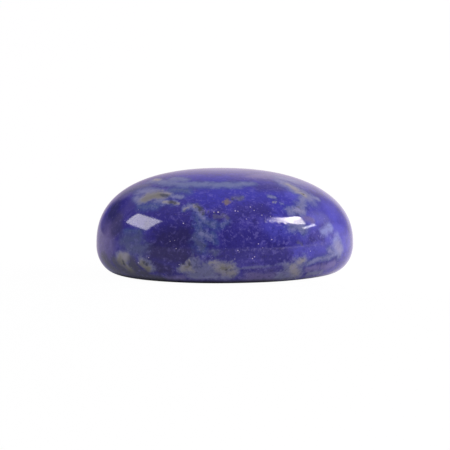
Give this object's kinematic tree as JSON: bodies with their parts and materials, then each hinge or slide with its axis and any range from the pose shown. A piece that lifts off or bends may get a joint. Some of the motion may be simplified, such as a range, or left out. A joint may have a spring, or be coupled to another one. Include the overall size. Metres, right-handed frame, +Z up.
{
  "type": "polished oval lapis lazuli cabochon",
  "caption": "Oval cabochon of blue lapis lazuli: high polished dome, rounded lower edge and a flat base that it rests on.",
  "frame": {"origin": "middle of the flat base, on the surface that the stone rests on", "axes": "+Z up out of the dome, +X along the oval's long axis towards the end that the crown leans away from, -Y towards the side shown in front"},
  "size_m": [0.03, 0.022, 0.012],
  "materials": {
    "polished_lapis": "polished, deep ultramarine with grey-blue calcite clouds, khaki patches and fine pyrite specks"
  },
  "bodies": {
    "root": {"cabochon": "polished_lapis"}
  },
  "joints": []
}
